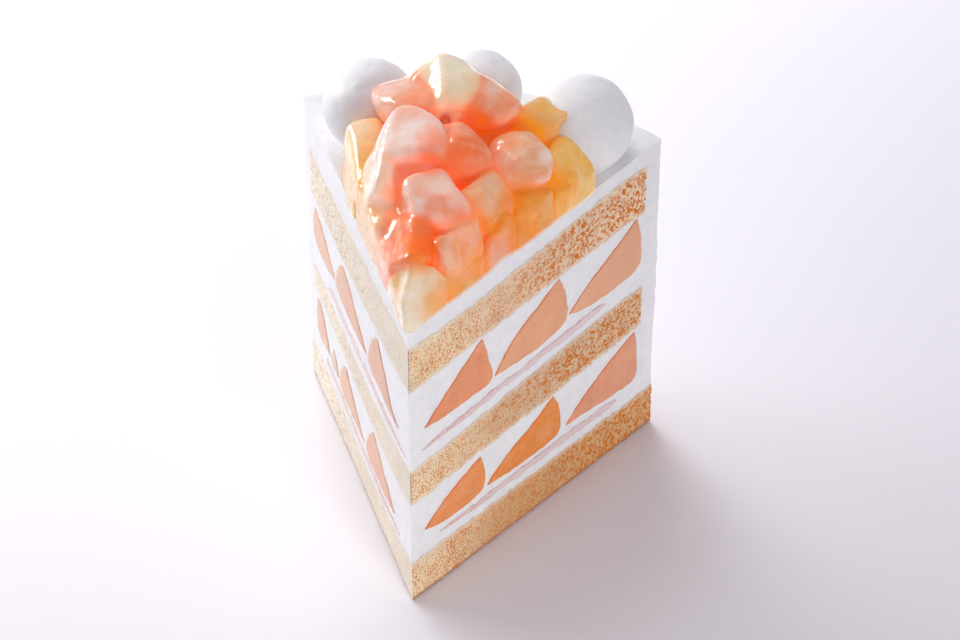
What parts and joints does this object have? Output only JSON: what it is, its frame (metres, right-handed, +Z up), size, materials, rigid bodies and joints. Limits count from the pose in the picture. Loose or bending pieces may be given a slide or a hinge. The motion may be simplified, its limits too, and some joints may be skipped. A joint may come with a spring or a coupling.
{
  "type": "peach shortcake slice",
  "caption": "Slice of a round layer cake: sponge, whipped cream and sliced peach, with a heap of glazed peach chunks and cream balls on top.",
  "frame": {"origin": "under the middle of the slice's box, on the surface that it stands on", "axes": "+Z up; the tip of the slice points to -Y and the round outside of the cake to +Y; +X is to the right seen from the tip"},
  "size_m": [0.0914, 0.09, 0.1242],
  "materials": {
    "cream": "soft satin",
    "sponge": "porous and matte",
    "peach_slice": "moist",
    "jam": "moist",
    "peach_pink": "clear glaze",
    "peach_yellow": "clear glaze"
  },
  "bodies": {
    "root": {"sponge_bottom": "sponge", "sponge_middle": "sponge", "sponge_top": "sponge", "cream_layer_lower": "cream", "cream_layer_upper": "cream", "icing": "cream", "jam_strip_lower": "jam", "jam_strip_upper": "jam", "peach_slice_lower_inner": "peach_slice", "peach_slice_lower_middle": "peach_slice", "peach_slice_lower_outer": "peach_slice", "peach_slice_lower_scrap": "peach_slice", "peach_slice_upper_inner": "peach_slice", "peach_slice_upper_middle": "peach_slice", "peach_slice_upper_outer": "peach_slice", "cream_ball_left": "cream", "cream_ball_middle": "cream", "cream_ball_right": "cream", "chunk_crown": "peach_yellow", "chunk_centre_front": "peach_pink", "chunk_mid_left": "peach_pink", "chunk_middle": "peach_pink", "chunk_dome_left": "peach_pink", "chunk_crown_right": "peach_pink", "chunk_mid_right": "peach_pink", "chunk_centre_right": "peach_pink", "chunk_left_column": "peach_pink", "chunk_lower_left": "peach_pink", "chunk_lower_front": "peach_yellow", "chunk_lower_yellow": "peach_yellow", "chunk_small_white": "peach_yellow", "chunk_small_pink": "peach_pink", "chunk_orange_edge": "peach_pink", "chunk_salmon_right": "peach_pink", "chunk_orange_right": "peach_pink", "chunk_yellow_top_right": "peach_yellow", "chunk_yellow_right_low": "peach_yellow", "chunk_yellow_right": "peach_yellow", "chunk_upper_left": "peach_yellow", "chunk_yellow_left": "peach_yellow", "chunk_yellow_left_low": "peach_yellow", "chunk_back_left": "peach_pink", "chunk_back_right": "peach_pink", "chunk_inner_left": "peach_pink", "chunk_inner_right": "peach_pink", "chunk_inner_front": "peach_pink"}
  },
  "joints": []
}
